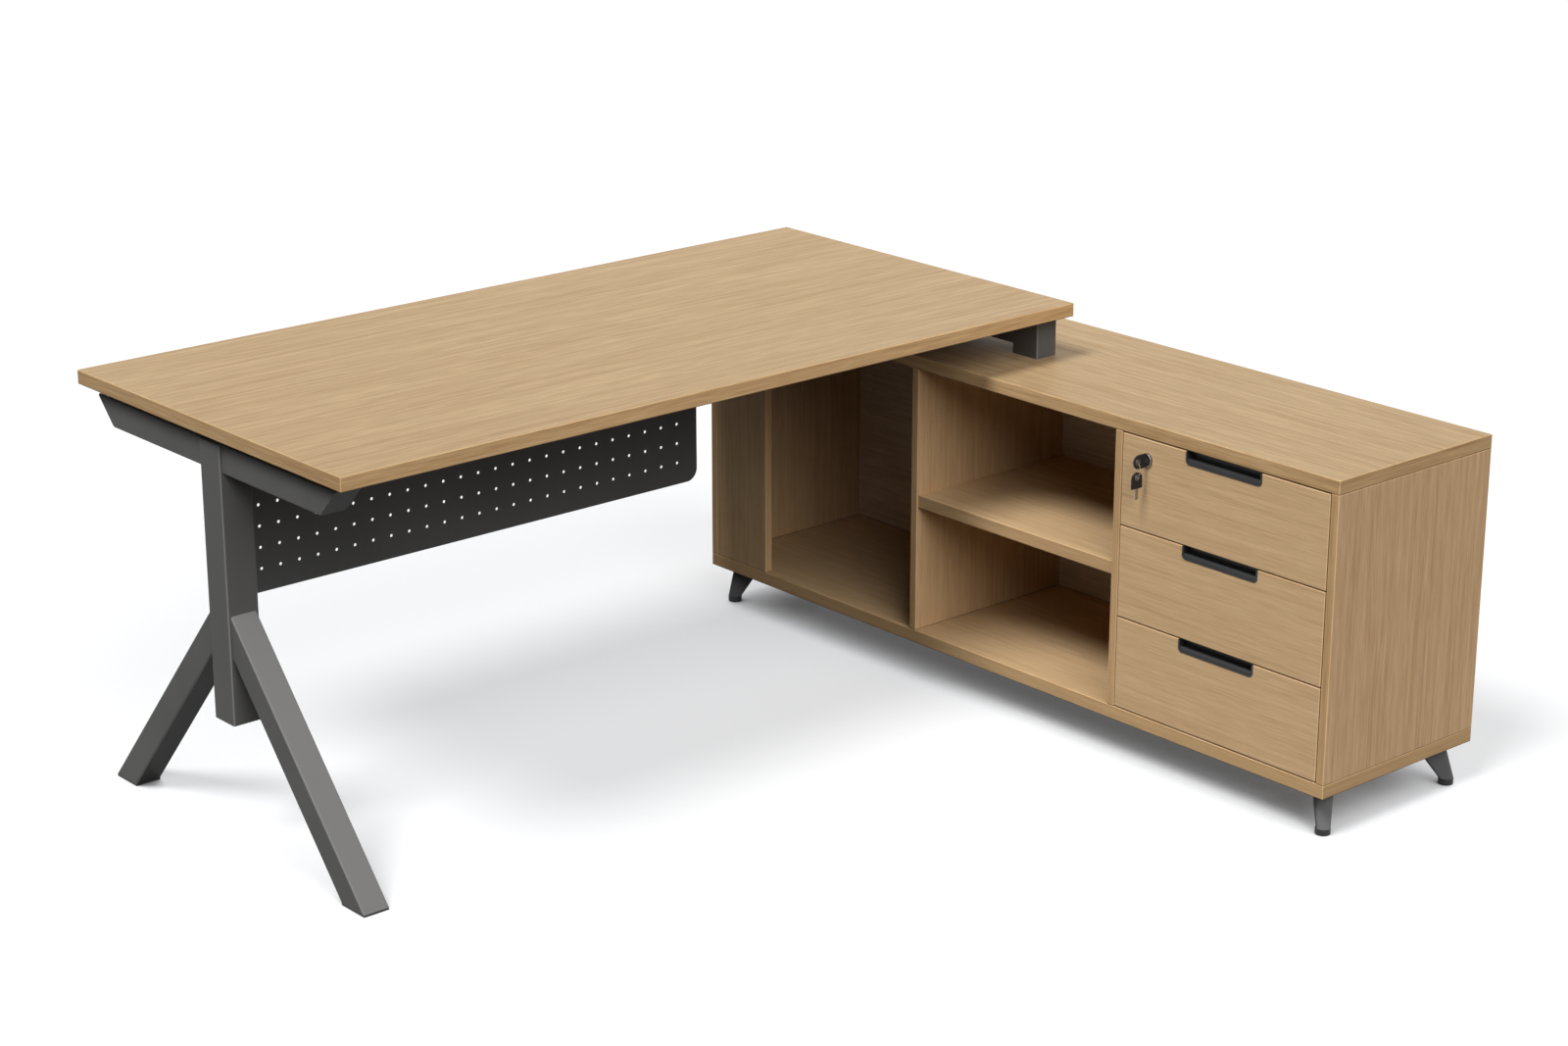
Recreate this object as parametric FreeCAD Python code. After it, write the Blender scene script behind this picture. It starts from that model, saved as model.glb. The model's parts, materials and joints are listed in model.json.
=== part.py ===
import FreeCAD, Part
import math
import os

Vec = FreeCAD.Vector
AXIS_X = Vec(1, 0, 0)
AXIS_Y = Vec(0, 1, 0)
AXIS_Z = Vec(0, 0, 1)

# An L-shaped desk: a desktop carried by a steel leg at the left and by a side cabinet at the right.
# Millimetres, +Z up, +X from the leg to the cabinet, +Y away from the person who sits at the desk.
# The origin is on the floor, below the middle of the whole desk.

# Desktop
desktop_length = 1600.0
desktop_depth = 800.0
desktop_thickness = 25.0
desk_height = 750.0
desktop_overlap = 200.0
board_easing = 1.0

# Side cabinet
cabinet_length = 1600.0
cabinet_depth = 400.0
cabinet_ground = 80.0
cabinet_board = 25.0
upright_board = 16.0
back_board = 12.0
drawer_bay = 467.0
shelf_bay = 500.0
shelf_board = 25.0
shelf_recess = 3.0
filler_width = 150.0
filler_board = 16.0

# Steel leg at the left end
post_size = 60.0
post_wall = 3.0
strut_size = 50.0
strut_wall = 2.5
beam_size = 50.0
beam_wall = 2.5
tube_corner = 3.5
end_plate = 3.0
plate_play = 0.1
leg_inset = 14.0
leg_setback = 6.0
post_foot_height = 222.0
strut_joint_height = 415.0
strut_end_inset = 8.0
strut_glide = 4.0
strut_glide_inset = 1.0
beam_end_inset = 38.0
beam_undercut = 48.0
desktop_gap = 14.0

# Support on the cabinet and the rails between the two ends
support_width = 50.0
support_depth = 65.0
support_wall = 3.0
support_end_inset = 0.0
support_side_inset = 42.0
support_lift = 18.0
rail_width = 25.0
rail_height = 40.0
rail_wall = 2.0
rail_spacing = 350.0

# Spacers below the desktop and the bolts through them
spacer_width = 30.0
spacer_length = 40.0
spacer_post_inset = 60.0
spacer_end_inset = 49.0
bolt_radius = 3.0
bolt_head_radius = 6.0
bolt_head_height = 4.0
bolt_grip = 14.0
bolt_play = 0.3
access_radius = 8.0
support_bolt_offset = 14.0

# Perforated modesty panel
panel_sheet = 1.5
panel_left_inset = 265.0
panel_right_gap = 75.0
panel_height = 408.0
panel_drop = 30.0
panel_inset = 44.0
panel_corner = 25.0
hole_pitch = 40.0
hole_radius = 3.0
hole_side_margin = 50.0
hole_edge_margin = 44.0
bracket_inset = 130.0
bracket_width = 40.0
bracket_leg = 45.0
bracket_lap = 15.0
bracket_sheet = 2.0
screw_radius = 2.0
screw_head_radius = 4.0
screw_head_height = 2.5
screw_length = 16.0

# Dowels, shelf pins
dowel_radius = 4.0
dowel_in_board = 12.0
dowel_in_upright = 18.0
dowel_inset = 70.0
pin_radius = 2.5
pin_length = 20.0
pin_inset = 60.0
pin_play = 0.05

# Cabinet feet
foot_front_inset = 38.0
foot_back_inset = 29.0
foot_side_inset = 26.0
foot_top_inset_x = 56.0
foot_top_inset_y = 46.0
foot_top_depth = 54.0
foot_top_width = 34.0
foot_low_depth = 26.0
foot_low_width = 24.0
foot_corner = 5.0
foot_plate = 4.0
foot_plate_margin = 6.0
foot_stud_length = 15.0
glide_radius = 13.5
glide_height = 12.0
glide_easing = 1.5
stud_radius = 4.0
stud_length = 20.0
running_play = 0.05

# Drawers
drawer_names = ("top", "middle", "bottom")
front_gap = 2.0
front_board = 16.0
box_board = 12.0
box_base = 5.0
box_base_rise = 6.0
box_rise = 15.0
box_drop = 33.0
box_back_room = 22.0
runner_space = 13.0
runner_height = 36.0
runner_sheet = 1.2
runner_play = 0.3
flange_play = 1.3
runner_setback = 2.0

# Recessed pulls
pull_width = 170.0
pull_height = 23.0
pull_corner = 8.0
pull_rim = 3.0
pull_proud = 1.2
pull_lip = 11.0
pull_lip_thickness = 3.0
pull_wall = 2.0
notch_play = 0.1

# Lock and keys
lock_side_inset = 58.0
lock_drop = 36.0
flange_radius = 12.0
flange_height = 5.0
barrel_radius = 9.5
barrel_length = 26.0
plug_radius = 7.0
plug_recess = 0.5
tail_radius = 4.0
cam_thickness = 3.0
cam_play = 2.0
cam_width = 14.0
key_gap = 0.5
key_length = 29.0
key_width = 25.0
key_cover = 3.0
key_hole_radius = 4.0
key_hole_inset = 9.0
eyelet_bore_radius = 2.4
eyelet_flange_radius = 6.0
eyelet_flange = 0.5
blade_length = 20.0
blade_tang = 12.0
blade_width = 8.0
blade_thickness = 2.0
blade_tip = 2.5
blade_notch = 1.4
blade_play = 0.2
key_drop = 27.0
link_wire = 0.5
link_play = 0.4

# Places that several pieces share
left_x = -(desktop_length + cabinet_depth - desktop_overlap) / 2
right_x = left_x + desktop_length
front_x = right_x - desktop_overlap
back_x = front_x + cabinet_depth
bay_back_x = back_x - back_board
near_y = -cabinet_length / 2
far_y = cabinet_length / 2
desk_near_y = far_y - desktop_depth
desk_middle_y = far_y - desktop_depth / 2
desktop_underside = desk_height - desktop_thickness
beam_top = desktop_underside - desktop_gap
beam_middle = beam_top - beam_size / 2
beam_reach = desktop_depth / 2 - beam_end_inset
strut_reach = desktop_depth / 2 - strut_end_inset
cabinet_height = beam_top - beam_size - support_lift
carcass_floor = cabinet_ground + cabinet_board
carcass_roof = cabinet_height - cabinet_board
drawer_bay_near = near_y + upright_board
drawer_bay_far = drawer_bay_near + drawer_bay
shelf_bay_near = drawer_bay_far + upright_board
shelf_bay_far = shelf_bay_near + shelf_bay
far_bay_near = shelf_bay_far + upright_board
far_bay_far = far_y - upright_board
leg_x = left_x + leg_inset + post_size / 2
leg_y = desk_middle_y + leg_setback
support_x = right_x - support_end_inset - support_width / 2
support_near_y = desk_near_y + support_side_inset + support_depth / 2
support_far_y = far_y - support_side_inset - support_depth / 2
panel_near_y = far_y - panel_inset
panel_left_x = left_x + panel_left_inset
panel_right_x = front_x - panel_right_gap
panel_top = desktop_underside - panel_drop
panel_low = panel_top - panel_height
shelf_underside = (carcass_floor + carcass_roof - shelf_board) / 2
lock_y = drawer_bay_far - front_gap - lock_side_inset
lock_z = carcass_roof - front_gap - lock_drop
nodes = {}


# Basic solids

def block(x0, x1, y0, y1, z0, z1):
    return Part.makeBox(x1 - x0, y1 - y0, z1 - z0, Vec(x0, y0, z0))


def board(x0, x1, y0, y1, z0, z1):
    """A furniture board with all its arrises eased."""
    solid = block(x0, x1, y0, y1, z0, z1)
    return solid.makeFillet(board_easing, solid.Edges)


def rod(radius, start, direction, length):
    return Part.makeCylinder(radius, length, start, direction)


def bar(start, end, side, width, height, corner):
    """A bar with rounded long edges; its width lies along side."""
    along = end - start
    solid = Part.makeBox(width, height, along.Length, Vec(-width / 2, -height / 2, 0))
    if corner > 0:
        long_edges = [edge for edge in solid.Edges if abs(edge.tangentAt(edge.FirstParameter).z) > 0.5]
        solid = solid.makeFillet(corner, long_edges)
    rotation = FreeCAD.Rotation(side, along.cross(side), along, "ZXY")
    solid.Placement = FreeCAD.Placement(start, rotation)
    return solid


def tube(start, end, side, width, height, wall):
    outer = bar(start, end, side, width, height, tube_corner)
    bore = bar(start, end, side, width - 2 * wall, height - 2 * wall, max(tube_corner - wall, 0))
    return outer.cut(bore)


def half_space(point, normal):
    """A large block that fills the side of a plane that the normal points to."""
    reach = 2 * (desktop_length + cabinet_length)
    solid = Part.makeBox(reach, reach, reach, Vec(-reach / 2, -reach / 2, 0))
    solid.Placement = FreeCAD.Placement(point, FreeCAD.Rotation(AXIS_Z, normal))
    return solid


def bolt(seat, direction, length, radius, head_radius, head_height):
    """A bolt whose head bears on seat and whose shank runs on along direction."""
    shank = rod(radius, seat, direction, length)
    head = rod(head_radius, seat - direction * head_height, direction, head_height)
    return shank.fuse(head).removeSplitter()


def rounded_rectangle(centre, along, across, depth, width, corner):
    """A closed outline with rounded corners in the plane of along and across."""
    corners = []
    for u, v in ((1, 1), (-1, 1), (-1, -1), (1, -1)):
        corners.append(centre + along * (u * depth / 2) + across * (v * width / 2))
    edges = []
    bend = corner * (1 - math.sqrt(0.5))
    for index, point in enumerate(corners):
        before = (corners[index - 1] - point).normalize()
        after = (corners[(index + 1) % 4] - point).normalize()
        start = point + before * corner
        end = point + after * corner
        edges.append(Part.Arc(start, point + (before + after) * bend, end).toShape())
        next_point = corners[(index + 1) % 4]
        edges.append(Part.makeLine(end, next_point - after * corner))
    return Part.Wire(edges)


# Desk section

def spacer_places():
    """Points on top of the cross beams where spacers and bolts hold the desktop."""
    places = []
    inner = post_size / 2 + spacer_post_inset
    leg_outer = beam_reach - beam_undercut - spacer_end_inset
    support_outer = (support_far_y - support_near_y - support_depth) / 2 - spacer_end_inset
    for x, middle_y, outer in ((leg_x, leg_y, leg_outer), (support_x, desk_middle_y, support_outer)):
        for offset in (-outer, -inner, inner, outer):
            places.append(Vec(x, middle_y + offset, beam_top))
    return places


def bracket_places():
    """Middle points of the modesty panel's brackets, along X."""
    middle = (panel_left_x + panel_right_x) / 2
    return (panel_left_x + bracket_inset, middle, panel_right_x - bracket_inset)


def screw_y():
    return panel_near_y - bracket_leg / 2


def make_desktop():
    solid = board(left_x, right_x, desk_near_y, far_y, desktop_underside, desk_height)
    for place in spacer_places():
        seat = Vec(place.x, place.y, desktop_underside)
        solid = solid.cut(rod(bolt_radius + bolt_play, seat, AXIS_Z, bolt_grip + bolt_play))
    for x in bracket_places():
        seat = Vec(x, screw_y(), desktop_underside)
        solid = solid.cut(rod(screw_radius + bolt_play, seat, AXIS_Z, screw_length))
    return solid


def make_post():
    start = Vec(leg_x, leg_y, post_foot_height)
    end = Vec(leg_x, leg_y, beam_top)
    return tube(start, end, AXIS_X, post_size, post_size, post_wall)


def strut_line(side):
    """The upper edge of a strut's side view: its joint on the post, its tip on the floor."""
    joint = Vec(leg_x, leg_y + side * post_size / 2, strut_joint_height)
    tip = Vec(leg_x, leg_y + side * strut_reach, 0)
    return joint, tip


def make_strut(side):
    joint, tip = strut_line(side)
    along = (tip - joint).normalize()
    upward = Vec(0, -side * along.z, side * along.y)
    centre = joint - upward * (strut_size / 2)
    start = centre - along * (2 * strut_size)
    end = centre + along * ((tip - joint).Length + 2 * strut_size)
    solid = tube(start, end, AXIS_X, strut_size, strut_size, strut_wall)
    solid = solid.cut(half_space(joint, AXIS_Y * -side))
    return solid.cut(half_space(Vec(leg_x, leg_y, strut_glide), AXIS_Z * -1))


def make_strut_glide(side):
    """A plate under a strut, a little smaller than the strut's cut end."""
    joint, tip = strut_line(side)
    slope = (tip - joint).normalize()
    run = strut_size / abs(slope.z)
    lift = strut_glide * abs(slope.y / slope.z)
    outer = tip.y - side * (lift + strut_glide_inset)
    inner = tip.y - side * (lift + run - strut_glide_inset)
    half = strut_size / 2 - strut_glide_inset
    return block(leg_x - half, leg_x + half, min(outer, inner), max(outer, inner), 0, strut_glide)


def beam_end(side):
    """A point on a half beam's slanted end and the outward normal of that end."""
    point = Vec(leg_x, leg_y + side * beam_reach, beam_top)
    normal = Vec(0, side * beam_size, -beam_undercut).normalize()
    return point, normal


def make_half_beam(side):
    start = Vec(leg_x, leg_y + side * post_size / 2, beam_middle)
    end = Vec(leg_x, leg_y + side * (beam_reach + beam_size), beam_middle)
    solid = tube(start, end, AXIS_X, beam_size, beam_size, beam_wall)
    solid = solid.cut(half_space(*beam_end(side)))
    for place in spacer_places():
        solid = solid.cut(beam_holes(place))
    return solid


def beam_holes(place):
    """A bolt hole in a beam's top wall and the tool hole below it in the bottom wall."""
    upper = rod(bolt_radius + bolt_play, place, AXIS_Z * -1, beam_size / 2)
    lower = rod(access_radius, place - AXIS_Z * (beam_size / 2), AXIS_Z * -1, beam_size)
    return upper.fuse(lower)


def make_support_beam():
    start = Vec(support_x, support_near_y + support_depth / 2, beam_middle)
    end = Vec(support_x, support_far_y - support_depth / 2, beam_middle)
    solid = tube(start, end, AXIS_X, beam_size, beam_size, beam_wall)
    for place in spacer_places():
        solid = solid.cut(beam_holes(place))
    return solid


def make_support_posts():
    posts = []
    for y in (support_near_y, support_far_y):
        start = Vec(support_x, y, cabinet_height)
        end = Vec(support_x, y, beam_top)
        posts.append(tube(start, end, AXIS_X, support_width, support_depth, support_wall))
    return Part.Compound(posts)


def support_bolt_places():
    """Seats of the bolts that hold the support posts, on the underside of the cabinet's top board."""
    places = []
    for y in (support_near_y, support_far_y):
        for offset in (-support_bolt_offset, support_bolt_offset):
            places.append(Vec(support_x, y + offset, carcass_roof))
    return places


def make_end_plates():
    """Plates that close the open tube ends."""
    plates = []
    width = post_size - 2 * post_wall - 2 * plate_play
    corner = max(tube_corner - post_wall, 0)
    for low in (post_foot_height, beam_top - end_plate):
        start = Vec(leg_x, leg_y, low)
        plates.append(bar(start, start + AXIS_Z * end_plate, AXIS_X, width, width, corner))
    width = support_width - 2 * support_wall - 2 * plate_play
    depth = support_depth - 2 * support_wall - 2 * plate_play
    corner = max(tube_corner - support_wall, 0)
    for y in (support_near_y, support_far_y):
        for low in (cabinet_height, beam_top - end_plate):
            start = Vec(support_x, y, low)
            plate = bar(start, start + AXIS_Z * end_plate, AXIS_X, width, depth, corner)
            if low == cabinet_height:
                for seat in support_bolt_places():
                    plate = plate.cut(rod(bolt_radius + bolt_play, seat, AXIS_Z, cabinet_height))
            plates.append(plate)
    width = beam_size - 2 * beam_wall - 2 * plate_play
    corner = max(tube_corner - beam_wall, 0)
    for side in (-1, 1):
        start = Vec(leg_x, leg_y + side * post_size / 2, beam_middle)
        end = Vec(leg_x, leg_y + side * (beam_reach + beam_size), beam_middle)
        point, normal = beam_end(side)
        plate = bar(start, end, AXIS_X, width, width, corner).cut(half_space(point, normal))
        plates.append(plate.cut(half_space(point - normal * end_plate, normal * -1)))
    return Part.Compound(plates)


def make_rails():
    rails = []
    for offset in (-rail_spacing / 2, rail_spacing / 2):
        start = Vec(leg_x + beam_size / 2, leg_y + offset, beam_top - rail_height / 2)
        end = Vec(support_x - beam_size / 2, leg_y + offset, beam_top - rail_height / 2)
        rails.append(tube(start, end, AXIS_Y, rail_width, rail_height, rail_wall))
    return Part.Compound(rails)


def make_spacers():
    spacers = []
    for place in spacer_places():
        half_x = spacer_width / 2
        half_y = spacer_length / 2
        solid = block(place.x - half_x, place.x + half_x, place.y - half_y, place.y + half_y,
                      beam_top, desktop_underside)
        spacers.append(solid.cut(rod(bolt_radius + bolt_play, place, AXIS_Z, desktop_gap)))
    return Part.Compound(spacers)


def make_modesty_panel():
    """A thin sheet with rounded lower corners and a centred grid of holes."""
    x0 = panel_left_x
    x1 = panel_right_x
    y = panel_near_y
    low = panel_low
    bend_low = low + panel_corner
    bend = panel_corner * (1 - math.sqrt(0.5))
    right_arc = Part.Arc(Vec(x1 - panel_corner, y, low), Vec(x1 - bend, y, low + bend), Vec(x1, y, bend_low))
    left_arc = Part.Arc(Vec(x0, y, bend_low), Vec(x0 + bend, y, low + bend), Vec(x0 + panel_corner, y, low))
    outline = Part.Wire([
        Part.makeLine(Vec(x0 + panel_corner, y, low), Vec(x1 - panel_corner, y, low)),
        right_arc.toShape(),
        Part.makeLine(Vec(x1, y, bend_low), Vec(x1, y, panel_top)),
        Part.makeLine(Vec(x1, y, panel_top), Vec(x0, y, panel_top)),
        Part.makeLine(Vec(x0, y, panel_top), Vec(x0, y, bend_low)),
        left_arc.toShape()])
    wires = [outline]
    for x in hole_positions(x0, x1, hole_side_margin):
        for z in hole_positions(low, panel_top, hole_edge_margin):
            wires.append(Part.Wire([Part.makeCircle(hole_radius, Vec(x, y, z), AXIS_Y)]))
    face = Part.makeFace(Part.Compound(wires), "Part::FaceMakerBullseye")
    solid = face.extrude(AXIS_Y * panel_sheet)
    for x in bracket_places():
        solid = solid.cut(rod(screw_radius + bolt_play, rivet_seat(x), AXIS_Y, bracket_sheet + panel_sheet))
    return solid


def hole_positions(start, end, margin):
    """Hole centres at the grid's pitch, centred between start and end and at least margin from both."""
    steps = math.floor((end - start - 2 * margin) / hole_pitch + pin_play)
    first = (start + end - steps * hole_pitch) / 2
    return [first + step * hole_pitch for step in range(steps + 1)]


def rivet_seat(x):
    """The point on a bracket's near face where a rivet joins it to the modesty panel."""
    return Vec(x, panel_near_y - bracket_sheet, panel_top - bracket_lap / 2)


def make_brackets():
    """Angle brackets that hang the modesty panel from the desktop."""
    brackets = []
    for x in bracket_places():
        x0 = x - bracket_width / 2
        x1 = x + bracket_width / 2
        drop = panel_top - bracket_lap
        upright = block(x0, x1, panel_near_y - bracket_sheet, panel_near_y, drop, desktop_underside)
        flat = block(x0, x1, panel_near_y - bracket_leg, panel_near_y,
                     desktop_underside - bracket_sheet, desktop_underside)
        solid = upright.fuse(flat).removeSplitter()
        solid = solid.cut(rod(screw_radius + bolt_play, rivet_seat(x), AXIS_Y, bracket_sheet))
        seat = Vec(x, screw_y(), desktop_underside - bracket_sheet)
        brackets.append(solid.cut(rod(screw_radius + bolt_play, seat, AXIS_Z, bracket_sheet)))
    return Part.Compound(brackets)


def make_fasteners():
    """Bolts of the beams and support posts, screws and rivets of the modesty panel."""
    pieces = []
    for place in spacer_places():
        seat = place - AXIS_Z * beam_wall
        length = beam_wall + desktop_gap + bolt_grip
        pieces.append(bolt(seat, AXIS_Z, length, bolt_radius, bolt_head_radius, bolt_head_height))
    for seat in support_bolt_places():
        length = cabinet_board + end_plate
        pieces.append(bolt(seat, AXIS_Z, length, bolt_radius, bolt_head_radius, bolt_head_height))
    for x in bracket_places():
        seat = Vec(x, screw_y(), desktop_underside - bracket_sheet)
        pieces.append(bolt(seat, AXIS_Z, screw_length, screw_radius, screw_head_radius, screw_head_height))
        grip = bracket_sheet + panel_sheet
        rivet = bolt(rivet_seat(x), AXIS_Y, grip, screw_radius, screw_head_radius, screw_head_height)
        back_seat = rivet_seat(x) + AXIS_Y * grip
        rivet = rivet.fuse(rod(screw_head_radius, back_seat, AXIS_Y, screw_head_height)).removeSplitter()
        pieces.append(rivet)
    return Part.Compound(pieces)


# Side cabinet

def upright_places():
    """Near faces of the two end panels and the two dividers."""
    return (near_y, drawer_bay_far, shelf_bay_far, far_bay_far)


def dowel_places():
    """Bottom ends of the dowels, with the lower and the upper joint of each upright."""
    places = []
    for y in upright_places():
        for x in (front_x + dowel_inset, bay_back_x - dowel_inset):
            centre_y = y + upright_board / 2
            places.append(Vec(x, centre_y, carcass_floor - dowel_in_board))
            places.append(Vec(x, centre_y, carcass_roof - dowel_in_upright))
    return places


def with_dowel_holes(solid):
    length = dowel_in_board + dowel_in_upright
    for place in dowel_places():
        solid = solid.cut(rod(dowel_radius + pin_play, place, AXIS_Z, length))
    return solid


def shelf_pin_places():
    """Points on the divider faces where pins carry the shelf, with the way into the bay."""
    z = shelf_underside - pin_radius - pin_play
    places = []
    for x in (front_x + pin_inset, bay_back_x - pin_inset):
        places.append((Vec(x, shelf_bay_near, z), AXIS_Y))
        places.append((Vec(x, shelf_bay_far, z), AXIS_Y * -1))
    return places


def with_pin_holes(solid):
    for place, inward in shelf_pin_places():
        solid = solid.cut(rod(pin_radius + pin_play, place, inward * -1, pin_length / 2))
    return solid


def make_carcass_pins():
    pieces = []
    for place in dowel_places():
        pieces.append(rod(dowel_radius, place, AXIS_Z, dowel_in_board + dowel_in_upright))
    for place, inward in shelf_pin_places():
        pieces.append(rod(pin_radius, place - inward * (pin_length / 2), inward, pin_length))
    return Part.Compound(pieces)


def make_cabinet_top():
    solid = with_dowel_holes(board(front_x, back_x, near_y, far_y, carcass_roof, cabinet_height))
    for seat in support_bolt_places():
        solid = solid.cut(rod(bolt_radius + bolt_play, seat, AXIS_Z, cabinet_board))
    return solid


def make_cabinet_bottom():
    solid = with_dowel_holes(board(front_x, back_x, near_y, far_y, cabinet_ground, carcass_floor))
    for _, _, top, _ in foot_corners():
        solid = solid.cut(rod(stud_radius + pin_play, top, AXIS_Z, foot_stud_length))
    return solid


def make_upright(y, depth_end):
    solid = board(front_x, depth_end, y, y + upright_board, carcass_floor, carcass_roof)
    return with_pin_holes(with_dowel_holes(solid))


def make_filler():
    return board(front_x, front_x + filler_board, far_bay_far - filler_width, far_bay_far,
                 carcass_floor, carcass_roof)


def make_shelf():
    return board(front_x + shelf_recess, bay_back_x, shelf_bay_near, shelf_bay_far,
                 shelf_underside, shelf_underside + shelf_board)


def make_back():
    return board(bay_back_x, back_x, drawer_bay_near, far_bay_far, carcass_floor, carcass_roof)


# Cabinet feet

def foot_corners():
    """Name, glide centre on the floor, middle of the mounting plate and outward direction of each foot."""
    corners = []
    for depth_name, edge_x, out_x, inset in (("front", front_x, -1, foot_front_inset),
                                             ("back", back_x, 1, foot_back_inset)):
        for end_name, edge_y, out_y in (("near", near_y, -1), ("far", far_y, 1)):
            low = Vec(edge_x - out_x * inset, edge_y - out_y * foot_side_inset, 0)
            top = Vec(edge_x - out_x * foot_top_inset_x, edge_y - out_y * foot_top_inset_y, cabinet_ground)
            corners.append((f"{end_name}_{depth_name}", low, top, Vec(out_x, out_y, 0).normalize()))
    return corners


def make_foot(centre, top, outward):
    """A tapered leg that leans out to the corner, under a flat mounting plate with a stud."""
    across = AXIS_Z.cross(outward)
    low_centre = centre + AXIS_Z * glide_height
    top_centre = top - AXIS_Z * foot_plate
    low = rounded_rectangle(low_centre, outward, across, foot_low_depth, foot_low_width, foot_corner)
    wide = rounded_rectangle(top_centre, outward, across, foot_top_depth, foot_top_width, foot_corner)
    leg = Part.makeLoft([low, wide], True, True)
    plate_outline = rounded_rectangle(top_centre, outward, across, foot_top_depth + 2 * foot_plate_margin,
                                      foot_top_width + 2 * foot_plate_margin, foot_corner)
    plate = Part.Face(plate_outline).extrude(AXIS_Z * foot_plate)
    stud = rod(stud_radius, top_centre, AXIS_Z, foot_plate + foot_stud_length)
    solid = leg.fuse([plate, stud]).removeSplitter()
    return solid.cut(rod(stud_radius + running_play, low_centre, AXIS_Z, stud_length + running_play))


def make_glide(centre):
    pad = rod(glide_radius, centre, AXIS_Z, glide_height)
    pad = pad.makeFillet(glide_easing, [edge for edge in pad.Edges if isinstance(edge.Curve, Part.Circle)])
    stud = rod(stud_radius, centre + AXIS_Z * (glide_height / 2), AXIS_Z, glide_height / 2 + stud_length)
    return pad.fuse(stud).removeSplitter()


# Drawers

def drawer_front_span(index):
    """Lowest and highest level of one drawer front."""
    count = len(drawer_names)
    height = (carcass_roof - carcass_floor - (count + 1) * front_gap) / count
    top = carcass_roof - front_gap - index * (height + front_gap)
    return top - height, top


def notch_outline(x, top, inset):
    """The pull's outline in the front's plane: open upwards, with rounded lower corners."""
    middle = (drawer_bay_near + drawer_bay_far) / 2
    half = pull_width / 2 - inset
    low = top - pull_height + inset
    corner = pull_corner - inset
    bend = corner * (1 - math.sqrt(0.5))
    high = top + front_gap / 2
    y0 = middle - half
    y1 = middle + half
    arc_near = Part.Arc(Vec(x, y0, low + corner), Vec(x, y0 + bend, low + bend), Vec(x, y0 + corner, low))
    arc_far = Part.Arc(Vec(x, y1 - corner, low), Vec(x, y1 - bend, low + bend), Vec(x, y1, low + corner))
    return Part.Wire([
        Part.makeLine(Vec(x, y0, high), Vec(x, y0, low + corner)),
        arc_near.toShape(),
        Part.makeLine(Vec(x, y0 + corner, low), Vec(x, y1 - corner, low)),
        arc_far.toShape(),
        Part.makeLine(Vec(x, y1, low + corner), Vec(x, y1, high)),
        Part.makeLine(Vec(x, y1, high), Vec(x, y0, high))])


def notch_prism(x0, x1, top, inset):
    return Part.Face(notch_outline(x0, top, inset)).extrude(AXIS_X * (x1 - x0))


def make_front(index):
    low, top = drawer_front_span(index)
    x1 = front_x + front_board
    solid = board(front_x, x1, drawer_bay_near + front_gap, drawer_bay_far - front_gap, low, top)
    solid = solid.cut(notch_prism(front_x, x1, top, -notch_play))
    if index == 0:
        hole_start = Vec(front_x, lock_y, lock_z)
        solid = solid.cut(rod(barrel_radius + notch_play, hole_start, AXIS_X, front_board))
    return solid


def make_pull(index):
    """A moulded cup with a raised rim, a lip to pull on and a pocket behind the lip, open at the top."""
    low, top = drawer_front_span(index)
    face_x = front_x - pull_proud
    end_x = front_x + front_board
    solid = notch_prism(face_x, end_x, top, 0)
    solid = solid.cut(notch_prism(face_x, front_x, top, pull_rim))
    lip_back = front_x + pull_lip_thickness
    solid = solid.cut(notch_prism(lip_back, end_x - pull_wall, top, pull_rim))
    window = notch_prism(face_x, lip_back, top, pull_rim)
    lip_top = top - pull_height + pull_lip
    solid = solid.cut(window.cut(half_space(Vec(front_x, 0, lip_top), AXIS_Z * -1)))
    return solid.cut(half_space(Vec(front_x, 0, top), AXIS_Z))


def box_span(index):
    low, top = drawer_front_span(index)
    return low + box_rise, top - box_drop


def box_end():
    return bay_back_x - box_back_room


def make_box_sides(index):
    low, high = box_span(index)
    x0 = front_x + front_board
    near = drawer_bay_near + runner_space
    far = drawer_bay_far - runner_space
    return Part.Compound([block(x0, box_end(), near, near + box_board, low, high),
                          block(x0, box_end(), far - box_board, far, low, high)])


def make_box_back(index):
    low, high = box_span(index)
    y0 = drawer_bay_near + runner_space + box_board
    y1 = drawer_bay_far - runner_space - box_board
    return block(box_end() - box_board, box_end(), y0, y1, low, high)


def make_box_bottom(index):
    low, high = box_span(index)
    y0 = drawer_bay_near + runner_space + box_board
    y1 = drawer_bay_far - runner_space - box_board
    z0 = low + box_base_rise
    return block(front_x + front_board, box_end() - box_board, y0, y1, z0, z0 + box_base)


def channel(wall_y, inward, web, reach, half_height, index):
    """A runner member: a web strip and two flanges, with depths counted from the bay's wall."""
    low, high = box_span(index)
    middle = (low + high) / 2
    x0 = front_x + front_board + runner_setback

    def strip(depth0, depth1, z0, z1):
        y0 = wall_y + inward * depth0
        y1 = wall_y + inward * depth1
        return block(x0, box_end(), min(y0, y1), max(y0, y1), middle + z0, middle + z1)

    solid = strip(web, web + runner_sheet, -half_height, half_height)
    for sign in (-1, 1):
        outer = sign * half_height
        inner = sign * (half_height - runner_sheet)
        solid = solid.fuse(strip(reach[0], reach[1], min(outer, inner), max(outer, inner)))
    return solid.removeSplitter()


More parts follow.
